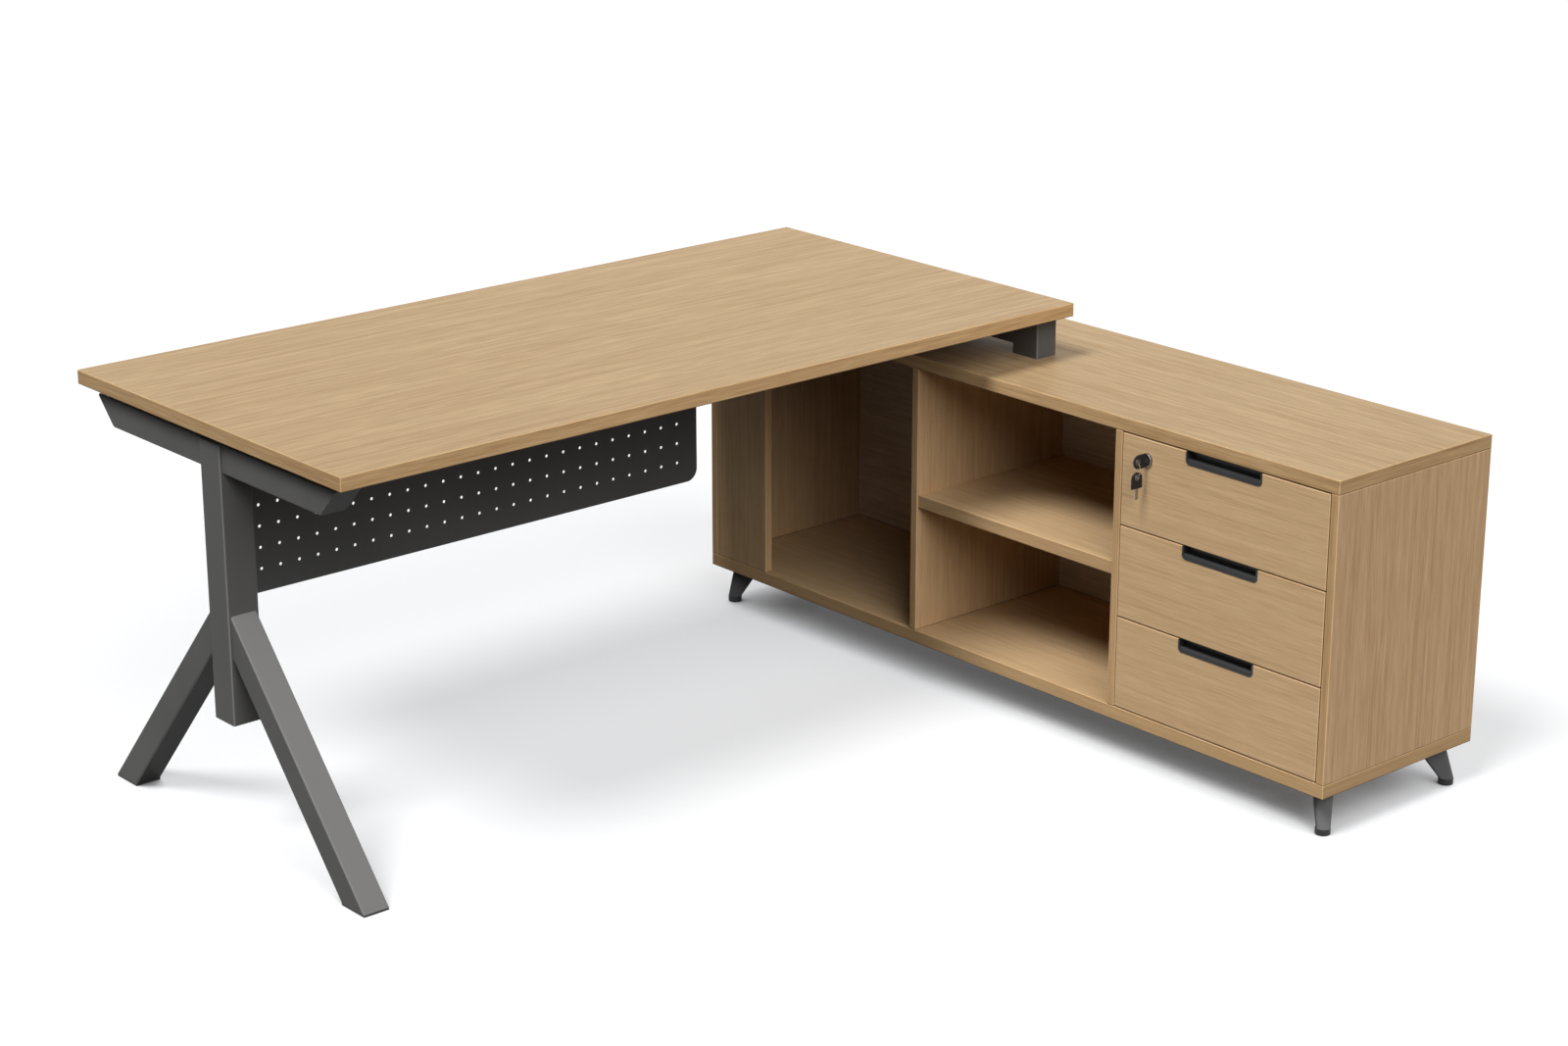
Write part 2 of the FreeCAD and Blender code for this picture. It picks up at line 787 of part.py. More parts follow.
def make_runners(index, member):
    """The pair of cabinet, middle or drawer members of one drawer's runners."""
    step = runner_sheet + runner_play
    slide_reach = runner_space - runner_sheet - flange_play
    webs = {"cabinet": 0, "slide": step, "drawer": runner_space - runner_sheet}
    reaches = {"cabinet": (0, slide_reach - step),
               "slide": (step, slide_reach),
               "drawer": (2 * step, runner_space)}
    nesting = {"cabinet": 0, "slide": 1, "drawer": 2}
    half_height = runner_height / 2 - nesting[member] * step
    pair = []
    for wall_y, inward in ((drawer_bay_near, 1), (drawer_bay_far, -1)):
        pair.append(channel(wall_y, inward, webs[member], reaches[member], half_height, index))
    return pair


# Lock and keys

def make_lock_body():
    start = Vec(front_x - flange_height, lock_y, lock_z)
    flange = rod(flange_radius, start, AXIS_X, flange_height)
    face_edge = [edge for edge in flange.Edges if edge.CenterOfMass.x < start.x + flange_height / 4]
    flange = flange.makeFillet(flange_height / 4, face_edge)
    barrel = rod(barrel_radius, start, AXIS_X, flange_height + barrel_length)
    bore = rod(plug_radius + running_play, start, AXIS_X, flange_height + barrel_length)
    return flange.fuse(barrel).removeSplitter().cut(bore)


def make_lock_plug():
    start = Vec(front_x - flange_height + plug_recess, lock_y, lock_z)
    end_x = front_x + barrel_length + running_play
    solid = rod(plug_radius, start, AXIS_X, end_x - start.x)
    tail = rod(tail_radius, Vec(end_x, lock_y, lock_z), AXIS_X, 2 * cam_thickness)
    half_thickness = blade_thickness / 2 + blade_play
    half_width = blade_width / 2 + blade_play
    keyway = block(start.x, start.x + blade_length + blade_play,
                   lock_y - half_thickness, lock_y + half_thickness,
                   lock_z - half_width, lock_z + half_width)
    return solid.fuse(tail).removeSplitter().cut(keyway)


def make_lock_cam():
    x0 = front_x + barrel_length + running_play
    half = cam_width / 2
    reach = lock_drop - half - cam_play
    arm = block(x0, x0 + cam_thickness, lock_y - reach, lock_y, lock_z - half, lock_z + half)
    hub = rod(half, Vec(x0, lock_y, lock_z), AXIS_X, cam_thickness)
    tip = rod(half, Vec(x0, lock_y - reach, lock_z), AXIS_X, cam_thickness)
    solid = arm.fuse([hub, tip]).removeSplitter()
    return solid.cut(rod(tail_radius + running_play, Vec(x0, lock_y, lock_z), AXIS_X, cam_thickness))


def key_pieces():
    """Metal and moulded cover of a key, with the hole in its bow at the origin and the blade along +X."""
    radius = key_width / 2
    shoulder = key_length - key_hole_inset
    straight_start = radius - key_hole_inset
    half_cover = key_cover / 2
    cover = block(straight_start, shoulder, -half_cover, half_cover, -radius, radius)
    round_end = rod(radius, Vec(straight_start, -half_cover, 0), AXIS_Y, key_cover)
    cover = cover.fuse(round_end).removeSplitter()
    cover = cover.cut(rod(key_hole_radius, Vec(0, -half_cover, 0), AXIS_Y, key_cover))
    half_blade = blade_thickness / 2
    half_width = blade_width / 2
    blade_end = shoulder + key_gap + blade_length
    blade = block(shoulder - blade_tang, blade_end, -half_blade, half_blade, -half_width, half_width)
    tips = [edge for edge in blade.Edges if edge.CenterOfMass.x > blade_end - blade_tip
            and abs(edge.tangentAt(edge.FirstParameter).y) > 0.5]
    blade = blade.makeChamfer(blade_tip, tips)
    notch_step = blade_length / 5
    for step in (1, 2, 3):
        x = shoulder + key_gap + step * notch_step
        corners = [Vec(x - blade_notch, -half_blade, -half_width),
                   Vec(x, -half_blade, -half_width + blade_notch),
                   Vec(x + blade_notch, -half_blade, -half_width)]
        outline = Part.makePolygon(corners + corners[:1])
        blade = blade.cut(Part.Face(outline).extrude(AXIS_Y * blade_thickness))
    slot = block(shoulder - blade_tang - plate_play, shoulder,
                 -half_blade - plate_play, half_blade + plate_play,
                 -half_width - plate_play, half_width + plate_play)
    return Part.Compound([blade, make_eyelet()]), cover.cut(slot)


def make_eyelet():
    """A flanged sleeve that lines the hole in a key's bow."""
    half = key_cover / 2 + eyelet_flange
    solid = rod(key_hole_radius - plate_play, Vec(0, -half, 0), AXIS_Y, 2 * half)
    flanges = [rod(eyelet_flange_radius, Vec(0, y, 0), AXIS_Y, eyelet_flange) for y in (-half, key_cover / 2)]
    solid = solid.fuse(flanges).removeSplitter().cut(rod(eyelet_bore_radius, Vec(0, -half, 0), AXIS_Y, 2 * half))
    mouths = [edge for edge in solid.Edges if abs(abs(edge.CenterOfMass.y) - half) < eyelet_flange / 10]
    return solid.makeFillet(eyelet_flange * 0.8, mouths)


def key_hole_centre():
    """The hole in the bow of the key that is in the lock."""
    return Vec(front_x - flange_height - key_gap - (key_length - key_hole_inset), lock_y, lock_z)


def placed(shape, point, rotation):
    shape = shape.copy()
    shape.Placement = FreeCAD.Placement(point, rotation)
    return shape


def make_key_link():
    """A wire loop around the rim below one key's hole and the rim above the other's."""
    centre = key_hole_centre()
    end_shift = key_width / 2 - key_hole_inset
    rim_edge = math.sqrt((key_width / 2) ** 2 - end_shift ** 2)
    upper = centre - AXIS_Z * ((eyelet_bore_radius + rim_edge) / 2)
    half_rim = math.hypot((rim_edge - eyelet_bore_radius) / 2, key_cover / 2 + eyelet_flange)
    link_radius = half_rim + link_wire + link_play
    wire_low = key_drop - eyelet_bore_radius + link_wire + link_play
    lower = centre - AXIS_Z * (wire_low - link_radius)
    side = AXIS_Y * link_radius
    path = Part.Wire([
        Part.Arc(upper + side, upper + AXIS_Z * link_radius, upper - side).toShape(),
        Part.makeLine(upper - side, lower - side),
        Part.Arc(lower - side, lower - AXIS_Z * link_radius, lower + side).toShape(),
        Part.makeLine(lower + side, upper + side)])
    section = Part.Wire([Part.makeCircle(link_wire, upper + side, AXIS_Z)])
    return path.makePipeShell([section], True, False)


# The finished pieces

nodes["desktop"] = make_desktop()
nodes["leg_post"] = make_post()
for side_name, side_sign in (("near", -1), ("far", 1)):
    nodes[f"leg_strut_{side_name}"] = make_strut(side_sign)
    nodes[f"leg_beam_{side_name}"] = make_half_beam(side_sign)
nodes["leg_glides"] = Part.Compound([make_strut_glide(-1), make_strut_glide(1)])
nodes["tube_end_plates"] = make_end_plates()
nodes["support_posts"] = make_support_posts()
nodes["support_beam"] = make_support_beam()
nodes["stretcher_rails"] = make_rails()
nodes["desktop_spacers"] = make_spacers()
nodes["frame_fasteners"] = make_fasteners()
nodes["modesty_panel"] = make_modesty_panel()
nodes["panel_brackets"] = make_brackets()

nodes["cabinet_top"] = make_cabinet_top()
nodes["cabinet_bottom"] = make_cabinet_bottom()
nodes["near_end_panel"] = make_upright(near_y, back_x)
nodes["near_divider"] = make_upright(drawer_bay_far, bay_back_x)
nodes["far_divider"] = make_upright(shelf_bay_far, bay_back_x)
nodes["far_end_panel"] = make_upright(far_bay_far, back_x)
nodes["front_filler"] = make_filler()
nodes["shelf"] = make_shelf()
nodes["back_panel"] = make_back()
nodes["carcass_pins"] = make_carcass_pins()
nodes["cabinet_feet"] = Part.Compound([make_foot(*places) for _, *places in foot_corners()])
for foot_name, foot_centre, _, _ in foot_corners():
    nodes[f"glide_{foot_name}"] = make_glide(foot_centre)

cabinet_runners = []
for drawer_index, drawer_name in enumerate(drawer_names):
    cabinet_runners += make_runners(drawer_index, "cabinet")
    nodes[f"{drawer_name}_drawer_front"] = make_front(drawer_index)
    nodes[f"{drawer_name}_drawer_pull"] = make_pull(drawer_index)
    nodes[f"{drawer_name}_drawer_sides"] = make_box_sides(drawer_index)
    nodes[f"{drawer_name}_drawer_back"] = make_box_back(drawer_index)
    nodes[f"{drawer_name}_drawer_bottom"] = make_box_bottom(drawer_index)
    nodes[f"{drawer_name}_drawer_runners"] = Part.Compound(make_runners(drawer_index, "drawer"))
    nodes[f"{drawer_name}_runner_slides"] = Part.Compound(make_runners(drawer_index, "slide"))
nodes["cabinet_runners"] = Part.Compound(cabinet_runners)

nodes["lock_body"] = make_lock_body()
nodes["lock_plug"] = make_lock_plug()
nodes["lock_cam"] = make_lock_cam()
key_metal, key_cover_shape = key_pieces()
in_lock = FreeCAD.Rotation()
hanging = FreeCAD.Rotation(AXIS_Y, 90)
spare_hole = key_hole_centre() - AXIS_Z * key_drop
nodes["key_blade"] = placed(key_metal, key_hole_centre(), in_lock)
nodes["key_cover"] = placed(key_cover_shape, key_hole_centre(), in_lock)
nodes["key_link"] = make_key_link()
nodes["spare_key_blade"] = placed(key_metal, spare_hole, hanging)
nodes["spare_key_cover"] = placed(key_cover_shape, spare_hole, hanging)

os.makedirs("parts", exist_ok=True)
for node_name, node_shape in nodes.items():
    node_shape.exportStep(f"parts/{node_name}.step")
    print(node_name, len(node_shape.Solids), round(node_shape.Volume / 1000, 2), node_shape.isValid())
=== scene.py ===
import json
import math

import bpy
from mathutils import Matrix, Vector

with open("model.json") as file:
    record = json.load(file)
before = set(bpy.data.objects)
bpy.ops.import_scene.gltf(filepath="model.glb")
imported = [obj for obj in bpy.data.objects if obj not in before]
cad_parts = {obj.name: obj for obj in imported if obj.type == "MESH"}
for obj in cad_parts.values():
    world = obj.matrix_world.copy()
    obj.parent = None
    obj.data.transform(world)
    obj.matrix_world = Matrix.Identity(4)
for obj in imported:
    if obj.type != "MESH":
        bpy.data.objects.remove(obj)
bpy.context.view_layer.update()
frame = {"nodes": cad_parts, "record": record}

nodes = frame["nodes"]
X, Y, Z = 0, 1, 2

# Camera at the photograph's viewpoint, for a 1600 x 1067 image
IMAGE_WIDTH = 1600
FOCAL_PIXELS = 3321.1
SENSOR_WIDTH = 36.0
CAMERA_PLACE = (-3.4907, -4.0094, 2.2582)
CAMERA_YAW = 0.7159
CAMERA_PITCH = 0.3229

# Soft lights: where each comes from, its strength and its spread in degrees
LIGHTS = {
    "key": ((-0.545, -0.071, 0.836), 2.55, 21),
    "fill": ((-0.234, -0.764, 0.602), 2.25, 46),
    "back": ((0.700, 0.700, 0.140), 1.00, 60),
}

# Floor: its colour for bounced light, its colour and lift in the picture, and the painted contact
# shade that dims the lift near the parts
FLOOR_REACH = 60.0
FLOOR_DROP = 0.0004
FLOOR_BOUNCE = (0.10, 0.10, 0.10)
FLOOR_SEEN = (0.50, 0.50, 0.50)
FLOOR_LIFT = (0.500, 0.507, 0.519)
CONTACT_SHADE_REACH = 0.145
CONTACT_SHADE_DARK = 0.24
CONTACT_SHADE_CLEAR = 0.60

# Wood: mean colours of the boards and of the edge bands, and swing of the grain in red, green and blue
# Painted light and shade: the tops and the near end panel are painted darker, the drawer fronts and
# the back panel's inner face paler, as shaded and lit copies of one oak
OAK_TOP_SHADED = (0.424, 0.291, 0.156)
OAK_SHELF = (0.560, 0.382, 0.209)
OAK_FRONT_LIT = (0.652, 0.440, 0.242)
OAK_END_SHADED = (0.524, 0.342, 0.187)
OAK_UPRIGHT = (0.540, 0.358, 0.193)
OAK_BACK_LIT = (0.630, 0.530, 0.440)
OAK_BAND = (0.545, 0.350, 0.175)
BAND_END_SHADE = 0.84
BOX_BOARD = (0.600, 0.480, 0.320)
BEECH = (0.620, 0.460, 0.280)
GRAIN_SWING = (0.13, 0.165, 0.205)
PALE_RAY = (1.08, 1.13, 1.11)
PORE_SWING = -2.2
TOP_CONTRAST = 1.7
END_CONTRAST = 1.4
BACK_CONTRAST = 1.0
TOP_GLOSS = 0.06
SHELF_GLOSS = 0.12
BACK_GLOSS = 0.45
BOARD_GLOSS = 0.10
BOX_GLOSS = 0.12
# Arrises: width, painted highlight along a board's arrises, and painted shade along its lower arrises
# at the joints
ARRIS_WIDTH = 0.0015
ARRIS_HIGHLIGHT = 1.28
ARRIS_SHADE = 0.32

# Grain layers: scale along the grain and across it, detail and distortion of the noise
BROAD_BANDS = (1.4, 45.0, 2.0, 0.15)
STREAKS = (3.2, 150.0, 3.0, 0.08)
FIBRES = (15.0, 420.0, 3.0, 0.0)
RAYS = (1.6, 190.0, 1.0, 0.0)
PORES = (40.0, 1500.0, 2.0, 0.0)
BROAD_WEIGHT = 0.16
STREAK_WEIGHT = 0.36
FIBRE_WEIGHT = 0.48

# Noise values at which the grain is dark, mean and light
TONE_DARK = 0.36
TONE_MEAN = 0.50
TONE_LIGHT = 0.64

# Shift of the grain from board to board, and the part of a normal that makes a face look along an axis
SEED_SHIFT = (1.37, 2.11, 0.73)
DOWEL_SEED = 90.0
FACING = 0.7

# Coated metal: lean of the rounded arrises, and painted shade on the faces that look down
ARRIS_LEAN = 0.6
UNDER_SHADE = 0.55

# Eyelets in the bows of the two keys, darkened as a painted dark reflection
EYELETS = ((0.4745, -0.377, 0.580), (0.4745, -0.377, 0.553))
EYELET_REACH = 0.0072
EYELET_DARK_REFLECTION = (0.42, 0.45, 0.53)


class Shader:
    """A node material with short calls for the nodes that the finishes share."""

    def __init__(self, name):
        self.material = bpy.data.materials.new(name)
        self.material.use_nodes = True
        self.tree = self.material.node_tree
        self.tree.nodes.clear()
        self.output = self.add("ShaderNodeOutputMaterial")
        self.surface = self.add("ShaderNodeBsdfPrincipled")
        self.link(self.surface.outputs["BSDF"], self.output.inputs["Surface"])
        self.place = self.add("ShaderNodeTexCoord")

    def add(self, kind):
        return self.tree.nodes.new(kind)

    def link(self, source, target):
        self.tree.links.new(source, target)

    def feed(self, socket, value):
        """Sets a socket to a number or a colour, or links it to another socket."""
        if isinstance(value, (int, float)):
            socket.default_value = value
        elif isinstance(value, tuple):
            socket.default_value = (*value, 1.0)
        else:
            self.link(value, socket)

    def noise(self, scale, shift=(0, 0, 0), detail=3.0, roughness=0.55, distortion=0.0):
        """Noise over the object's own metres, scaled axis by axis."""
        mapping = self.add("ShaderNodeMapping")
        mapping.inputs["Scale"].default_value = scale
        mapping.inputs["Location"].default_value = shift
        self.link(self.place.outputs["Object"], mapping.inputs["Vector"])
        texture = self.add("ShaderNodeTexNoise")
        texture.inputs["Scale"].default_value = 1.0
        texture.inputs["Detail"].default_value = detail
        texture.inputs["Roughness"].default_value = roughness
        texture.inputs["Distortion"].default_value = distortion
        self.link(mapping.outputs["Vector"], texture.inputs["Vector"])
        return texture.outputs["Fac"]

    def remap(self, value, from_low, from_high, to_low, to_high):
        node = self.add("ShaderNodeMapRange")
        for name, number in (("From Min", from_low), ("From Max", from_high),
                             ("To Min", to_low), ("To Max", to_high)):
            node.inputs[name].default_value = number
        self.link(value, node.inputs["Value"])
        return node.outputs["Result"]

    def math(self, operation, first, second=0.0):
        node = self.add("ShaderNodeMath")
        node.operation = operation
        self.feed(node.inputs[0], first)
        self.feed(node.inputs[1], second)
        return node.outputs["Value"]

    def within(self, place, reach):
        """1 nearer than the reach to a place, else 0."""
        node = self.add("ShaderNodeVectorMath")
        node.operation = "DISTANCE"
        node.inputs[1].default_value = place
        self.link(self.place.outputs["Object"], node.inputs[0])
        return self.math("LESS_THAN", node.outputs["Value"], reach)

    def weighted(self, *parts):
        """Sum of values, each times its weight."""
        total = None
        for value, weight in parts:
            scaled = self.math("MULTIPLY", value, weight)
            total = scaled if total is None else self.math("ADD", total, scaled)
        return total

    def choose(self, factor, first, second):
        """The first value where the factor is 0, the second where it is 1."""
        node = self.add("ShaderNodeMix")
        self.feed(node.inputs[0], factor)
        self.feed(node.inputs[2], first)
        self.feed(node.inputs[3], second)
        return node.outputs[0]

    def blend(self, factor, first, second, kind="MIX"):
        node = self.add("ShaderNodeMix")
        node.data_type = "RGBA"
        node.blend_type = kind
        self.feed(node.inputs[0], factor)
        self.feed(node.inputs[6], first)
        self.feed(node.inputs[7], second)
        return node.outputs[2]

    def ramp(self, value, *stops):
        node = self.add("ShaderNodeValToRGB")
        ramp = node.color_ramp
        while len(ramp.elements) < len(stops):
            ramp.elements.new(0.5)
        for element, (position, colour) in zip(ramp.elements, stops):
            element.position = position
            element.color = (*colour, 1.0)
        self.link(value, node.inputs["Fac"])
        return node.outputs["Color"]

    def bump(self, height, strength, distance):
        node = self.add("ShaderNodeBump")
        node.inputs["Strength"].default_value = strength
        node.inputs["Distance"].default_value = distance
        self.link(height, node.inputs["Height"])
        self.link(node.outputs["Normal"], self.surface.inputs["Normal"])

    def set(self, **values):
        for name, value in values.items():
            socket = name.replace("_", " ").title().replace("Ior", "IOR")
            self.feed(self.surface.inputs[socket], value)


def times(colour, factor):
    return tuple(value * factor for value in colour)


def swing(colour, amount):
    """The colour moved along the grain's swing, darker and browner or lighter and paler."""
    return tuple(value * (1 + amount * step) for value, step in zip(colour, GRAIN_SWING))


def along(axis, long_scale, cross_scale):
    """A scale vector that is low along the grain's axis and high across it."""
    return tuple(long_scale if index == axis else cross_scale for index in range(3))


def arris_highlight_and_shade(shader, box):
    """White, but with a painted highlight along a board's arrises and painted shade along its lower
    ones, at the joints.
    """
    place = shader.add("ShaderNodeSeparateXYZ")
    shader.link(shader.place.outputs["Object"], place.inputs["Vector"])
    near = []
    for axis in (X, Y, Z):
        low, high = box[0][axis], box[1][axis]
        offset = shader.math("SUBTRACT", place.outputs[axis], (low + high) / 2)
        offset = shader.math("ABSOLUTE", offset)
        near.append(shader.math("GREATER_THAN", offset, (high - low) / 2 - ARRIS_WIDTH))
    count = shader.math("ADD", shader.math("ADD", near[X], near[Y]), near[Z])
    more_than_one_face = 1.5
    on_arris = shader.math("GREATER_THAN", count, more_than_one_face)
    below = shader.math("LESS_THAN", place.outputs[Z], box[0][Z] + ARRIS_WIDTH)
    line = shader.blend(below, (ARRIS_HIGHLIGHT,) * 3, (ARRIS_SHADE,) * 3)
    return shader.blend(on_arris, (1.0, 1.0, 1.0), line)


def wood(name, seed, box, thickness, grain_axis, colour, band, gloss, contrast=1.0, outer=None):
    """Wood-grain board: broad bands, streaks, fibres, pale rays and short pores along the grain.
    Faces other than the two broad ones carry an edge band, with its grain along the edge.
    An outer colour goes on the broad face at the high end of the thickness axis."""
    shader = Shader(name)
    shift = times(SEED_SHIFT, seed)
    cross_axis = 3 - thickness - grain_axis
    normal = shader.add("ShaderNodeSeparateXYZ")
    shader.link(shader.place.outputs["Normal"], normal.inputs["Vector"])
    sides = [shader.math("ABSOLUTE", normal.outputs[axis]) for axis in (X, Y, Z)]
    on_band = shader.math("LESS_THAN", sides[thickness], FACING)
    on_end = shader.math("GREATER_THAN", sides[grain_axis], FACING)

    def grain(long_scale, cross_scale, detail, distortion):
        layers = []
        for axis in (grain_axis, cross_axis):
            scale = along(axis, long_scale, cross_scale)
            layers.append(shader.noise(scale, shift, detail, distortion=distortion))
        board, edge = layers
        return shader.choose(on_end, board, edge)

    broad = grain(*BROAD_BANDS)
    streak = grain(*STREAKS)
    fibre = grain(*FIBRES)
    rays = shader.remap(grain(*RAYS), 0.60, 0.74, 0.0, 0.6)
    pores = shader.remap(grain(*PORES), 0.60, 0.72, 0.0, 0.25)
    tone = shader.weighted((broad, BROAD_WEIGHT), (streak, STREAK_WEIGHT), (fibre, FIBRE_WEIGHT))

    def grained(mean):
        dark, light = swing(mean, -contrast), swing(mean, contrast)
        surface = shader.ramp(tone, (TONE_DARK, dark), (TONE_MEAN, mean), (TONE_LIGHT, light))
        surface = shader.blend(rays, surface, tuple(a * b for a, b in zip(mean, PALE_RAY)))
        return shader.blend(pores, surface, swing(mean, PORE_SWING))

    bands = shader.blend(on_end, grained(band), grained(times(band, BAND_END_SHADE)))
    surface = grained(colour)
    if outer:
        on_outer = shader.math("GREATER_THAN", normal.outputs[thickness], FACING)
        surface = shader.blend(on_outer, surface, grained(outer))
        gloss = shader.choose(on_outer, gloss, BOARD_GLOSS)
    surface = shader.blend(on_band, surface, bands)
    if box:
        # Painted highlight and painted shade along the board's arrises
        surface = shader.blend(1.0, surface, arris_highlight_and_shade(shader, box), "MULTIPLY")
    shader.set(base_color=surface,
               roughness=shader.remap(fibre, 0.3, 0.7, 0.50, 0.62),
               specular_ior_level=gloss)
    shader.bump(shader.weighted((fibre, 0.6), (pores, -0.8)), 0.12, 0.0004)
    return shader.material


def powder_coat(name, colour, roughness, gloss, arris_highlight_gain, top_light_gain):
    """Powder-coated metal: a fine orange peel, pale specks, a faint cloudiness, a painted highlight
    along the rounded arrises, painted light on the faces that look up and painted shade on those that
    look down."""
    shader = Shader(name)
    normal = shader.add("ShaderNodeSeparateXYZ")
    shader.link(shader.place.outputs["Normal"], normal.inputs["Vector"])
    lean = shader.math("ABSOLUTE", normal.outputs[X])
    off_arris = shader.math("ABSOLUTE", shader.math("SUBTRACT", lean, ARRIS_LEAN))
    cloud = shader.noise((5, 5, 5))
    peel = shader.noise((900, 900, 900), detail=2.0)
    speck = shader.noise((2600, 2600, 2600), detail=1.0)
    surface = shader.ramp(cloud, (0.35, times(colour, 0.94)), (0.65, times(colour, 1.06)))
    specks = shader.remap(speck, 0.62, 0.75, 0.0, 0.25)
    # Painted light: faces that look up are painted paler
    top_light_mask = shader.remap(normal.outputs[Z], 0.2, 0.6, 0.0, 1.0)
    # Painted shade: faces that look down are painted darker
    under_shade_mask = shader.remap(normal.outputs[Z], -0.5, -0.1, 1.0, 0.0)
    # Painted highlight along the rounded arrises
    arris_highlight_mask = shader.remap(off_arris, 0.15, 0.38, 1.0, 0.0)
    # Specks, then the painted light, painted shade and painted highlight
    for amount, gain in ((specks, 1.6), (top_light_mask, top_light_gain), (under_shade_mask, UNDER_SHADE), (arris_highlight_mask, arris_highlight_gain)):
        surface = shader.blend(amount, surface, times(colour, gain))
    shader.set(base_color=surface,
               roughness=shader.remap(peel, 0.3, 0.7, roughness - 0.04, roughness + 0.04),
               specular_ior_level=gloss)
    shader.bump(peel, 0.08, 0.0003)
    return shader.material


def moulded_plastic(name, colour, roughness, gloss, texture_scale):
    """Moulded plastic with a spark-eroded grain."""
    shader = Shader(name)
    grain = shader.noise((texture_scale,) * 3, detail=2.0, roughness=0.6)
    cloud = shader.noise((12, 12, 12), detail=2.0)
    shader.set(base_color=shader.ramp(cloud, (0.35, times(colour, 0.85)), (0.65, times(colour, 1.15))),
               roughness=shader.remap(grain, 0.3, 0.7, roughness - 0.08, roughness + 0.08),
               specular_ior_level=gloss)
    shader.bump(grain, 0.15, 0.0002)
    return shader.material


def plated_metal(name, colour, roughness, axis, dark_reflection_places=()):
    """Plated metal with drawn lines along one axis and a cloudy bloom, with a painted dark reflection
    at some places.
    """
    shader = Shader(name)
    lines = shader.noise(along(axis, 30, 2600))
    bloom = shader.noise((55, 55, 55), detail=4.0, roughness=0.65)
    tone = shader.weighted((lines, 0.5), (bloom, 0.5))
    surface = shader.ramp(tone, (0.35, times(colour, 0.82)), (0.65, times(colour, 1.18)))
    # Painted dark reflection on the eyelets
    for place in dark_reflection_places:
        surface = shader.blend(shader.within(place, EYELET_REACH), surface, EYELET_DARK_REFLECTION, "MULTIPLY")
    shader.set(base_color=surface,
               metallic=1.0,
               roughness=shader.remap(lines, 0.3, 0.7, roughness - 0.06, roughness + 0.08))
    shader.bump(lines, 0.08, 0.0002)
    return shader.material


# Boards: axis through the thickness, axis of the grain, colours of the faces and of the bands, gloss,
# contrast of the grain, and for the back panel the colour of its outer face
boards = {
    "desktop": (Z, X, OAK_TOP_SHADED, OAK_BAND, TOP_GLOSS, TOP_CONTRAST),
    "cabinet_top": (Z, Y, OAK_TOP_SHADED, OAK_BAND, TOP_GLOSS, TOP_CONTRAST),
    "cabinet_bottom": (Z, Y, OAK_SHELF, OAK_BAND, SHELF_GLOSS),
    "shelf": (Z, Y, OAK_SHELF, OAK_BAND, SHELF_GLOSS),
    "back_panel": (X, Y, OAK_BACK_LIT, OAK_BAND, BACK_GLOSS, BACK_CONTRAST, OAK_UPRIGHT),
    "near_end_panel": (Y, Z, OAK_END_SHADED, OAK_BAND, BOARD_GLOSS, END_CONTRAST),
    "far_end_panel": (Y, Z, OAK_UPRIGHT, OAK_BAND, BOARD_GLOSS),
    "near_divider": (Y, Z, OAK_UPRIGHT, OAK_BAND, BOARD_GLOSS),
    "far_divider": (Y, Z, OAK_UPRIGHT, OAK_BAND, BOARD_GLOSS),
    "front_filler": (X, Z, OAK_UPRIGHT, OAK_BAND, BOARD_GLOSS),
}
for drawer in ("top", "middle", "bottom"):
    boards[f"{drawer}_drawer_front"] = (X, Y, OAK_FRONT_LIT, OAK_BAND, BOARD_GLOSS)
    boards[f"{drawer}_drawer_sides"] = (Y, X, BOX_BOARD, BOX_BOARD, BOX_GLOSS)
    boards[f"{drawer}_drawer_back"] = (X, Y, BOX_BOARD, BOX_BOARD, BOX_GLOSS)
    boards[f"{drawer}_drawer_bottom"] = (Z, Y, BOX_BOARD, BOX_BOARD, BOX_GLOSS)

# Finishes of the other pieces, by their material slots
finishes = {
    "dowel_wood": wood("dowel_wood", DOWEL_SEED, None, Z, X, BEECH, BEECH, BOX_GLOSS),
    "leg_steel": powder_coat(
        "leg_steel", (0.111, 0.110, 0.107), roughness=0.38, gloss=0.03, arris_highlight_gain=1.7, top_light_gain=1.6),
    "panel_steel": powder_coat(
        "panel_steel", (0.140, 0.140, 0.140), roughness=0.45, gloss=0.05, arris_highlight_gain=1.3, top_light_gain=1.2),
    "foot_metal": powder_coat(
        "foot_metal", (0.145, 0.145, 0.146), roughness=0.36, gloss=0.03, arris_highlight_gain=1.1, top_light_gain=1.2),
    "glide_plastic": moulded_plastic(
        "glide_plastic", (0.013, 0.013, 0.014), roughness=0.50, gloss=0.40, texture_scale=1500),
    "pull_plastic": moulded_plastic(
        "pull_plastic", (0.019, 0.020, 0.021), roughness=0.40, gloss=0.45, texture_scale=1500),
    "fastener_steel": plated_metal("fastener_steel", (0.48, 0.48, 0.49), roughness=0.35, axis=Z),
    "runner_zinc": plated_metal("runner_zinc", (0.38, 0.39, 0.41), roughness=0.34, axis=X),
    "lock_metal": plated_metal("lock_metal", (0.24, 0.23, 0.22), roughness=0.24, axis=X),
    "lock_plug_metal": plated_metal("lock_plug_metal", (0.39, 0.38, 0.36), roughness=0.26, axis=X),
    "key_metal": plated_metal(
        "key_metal", (0.40, 0.38, 0.34), roughness=0.28, axis=Z, dark_reflection_places=EYELETS),
    "key_plastic": moulded_plastic(
        "key_plastic", (0.011, 0.011, 0.013), roughness=0.30, gloss=0.30, texture_scale=900),
}

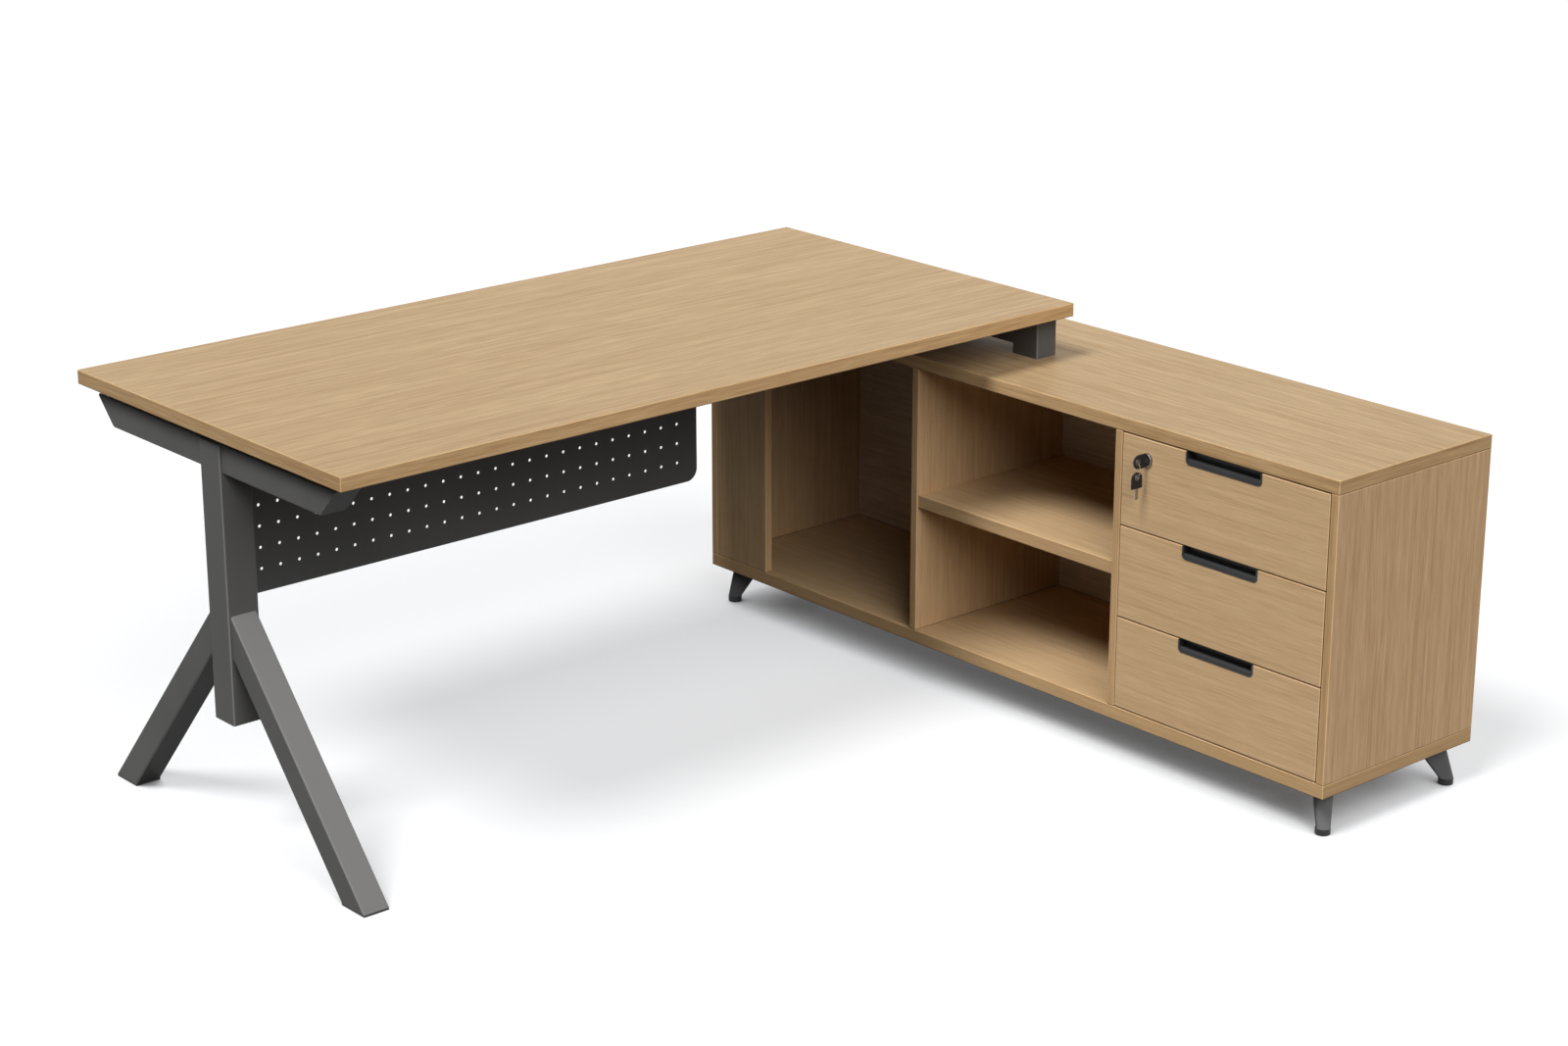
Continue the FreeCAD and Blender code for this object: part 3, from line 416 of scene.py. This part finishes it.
for number, entry in enumerate(frame["record"]["subparts"]):
    node, slot = entry["node"], entry["material_slot"]
    if node in boards:
        corners = list(zip(*nodes[node].bound_box))
        box = [[pick(values) for values in corners] for pick in (min, max)]
        seed = 1.0 + number
        finish = wood(f"{slot}.{node}", seed, box, *boards[node])
    else:
        finish = finishes[slot]
    nodes[node].data.materials.clear()
    nodes[node].data.materials.append(finish)


def ray_mask(tree):
    """1 for rays of the camera, of reflections and of see-through surfaces."""
    path = tree.nodes.new("ShaderNodeLightPath")
    first = tree.nodes.new("ShaderNodeMath")
    second = tree.nodes.new("ShaderNodeMath")
    first.operation = "MAXIMUM"
    second.operation = "MAXIMUM"
    tree.links.new(path.outputs["Is Camera Ray"], first.inputs[0])
    tree.links.new(path.outputs["Is Glossy Ray"], first.inputs[1])
    tree.links.new(first.outputs[0], second.inputs[0])
    tree.links.new(path.outputs["Is Transmission Ray"], second.inputs[1])
    return second.outputs[0]


def make_floor():
    """A wide pale floor that keeps the shadows and gives little bounced light."""
    mesh = bpy.data.meshes.new("floor")
    sides = ((-1, -1), (1, -1), (1, 1), (-1, 1))
    corners = [(x * FLOOR_REACH, y * FLOOR_REACH, -FLOOR_DROP) for x, y in sides]
    mesh.from_pydata(corners, [], [(0, 1, 2, 3)])
    floor = bpy.data.objects.new("floor", mesh)
    bpy.context.scene.collection.objects.link(floor)
    material = bpy.data.materials.new("floor")
    material.use_nodes = True
    tree = material.node_tree
    tree.nodes.clear()
    output = tree.nodes.new("ShaderNodeOutputMaterial")
    bounce = tree.nodes.new("ShaderNodeBsdfDiffuse")
    bounce.inputs["Color"].default_value = (*FLOOR_BOUNCE, 1)
    seen = tree.nodes.new("ShaderNodeBsdfDiffuse")
    seen.inputs["Color"].default_value = (*FLOOR_SEEN, 1)
    # Painted contact shade: ambient occlusion dims the floor's lift near the parts
    contact_shade = tree.nodes.new("ShaderNodeAmbientOcclusion")
    contact_shade.inputs["Distance"].default_value = CONTACT_SHADE_REACH
    deepen = tree.nodes.new("ShaderNodeMapRange")
    deepen.inputs["From Min"].default_value = CONTACT_SHADE_DARK
    deepen.inputs["From Max"].default_value = CONTACT_SHADE_CLEAR
    tree.links.new(contact_shade.outputs["AO"], deepen.inputs["Value"])
    lift = tree.nodes.new("ShaderNodeEmission")
    lift.inputs["Color"].default_value = (*FLOOR_LIFT, 1)
    tree.links.new(deepen.outputs["Result"], lift.inputs["Strength"])
    both = tree.nodes.new("ShaderNodeAddShader")
    choice = tree.nodes.new("ShaderNodeMixShader")
    tree.links.new(seen.outputs[0], both.inputs[0])
    tree.links.new(lift.outputs[0], both.inputs[1])
    tree.links.new(ray_mask(tree), choice.inputs[0])
    tree.links.new(bounce.outputs[0], choice.inputs[1])
    tree.links.new(both.outputs[0], choice.inputs[2])
    tree.links.new(choice.outputs[0], output.inputs["Surface"])
    mesh.materials.append(material)


def make_surroundings():
    """White for the eye and for reflections, dark for all other rays."""
    world = bpy.data.worlds.new("studio")
    bpy.context.scene.world = world
    world.use_nodes = True
    tree = world.node_tree
    tree.nodes.clear()
    output = tree.nodes.new("ShaderNodeOutputWorld")
    white = tree.nodes.new("ShaderNodeBackground")
    white.inputs["Color"].default_value = (1, 1, 1, 1)
    tree.links.new(ray_mask(tree), white.inputs["Strength"])
    tree.links.new(white.outputs[0], output.inputs["Surface"])


def make_lights():
    for name, (source, strength, spread) in LIGHTS.items():
        lamp = bpy.data.lights.new(name, "SUN")
        lamp.energy = strength
        lamp.angle = math.radians(spread)
        light = bpy.data.objects.new(name, lamp)
        light.rotation_euler = Vector(source).to_track_quat("Z", "Y").to_euler()
        bpy.context.scene.collection.objects.link(light)


def make_camera():
    data = bpy.data.cameras.new("camera")
    data.sensor_fit = "HORIZONTAL"
    data.sensor_width = SENSOR_WIDTH
    data.lens = FOCAL_PIXELS / IMAGE_WIDTH * SENSOR_WIDTH
    camera = bpy.data.objects.new("camera", data)
    bpy.context.scene.collection.objects.link(camera)
    forward = Vector((math.sin(CAMERA_YAW) * math.cos(CAMERA_PITCH),
                      math.cos(CAMERA_YAW) * math.cos(CAMERA_PITCH),
                      -math.sin(CAMERA_PITCH)))
    right = Vector((math.cos(CAMERA_YAW), -math.sin(CAMERA_YAW), 0))
    up = right.cross(forward)
    turn = Matrix((right, up, -forward)).transposed()
    camera.matrix_world = Matrix.Translation(CAMERA_PLACE) @ turn.to_4x4()
    bpy.context.scene.camera = camera


make_floor()
make_surroundings()
make_lights()
make_camera()
bpy.context.scene.view_settings.view_transform = "Standard"
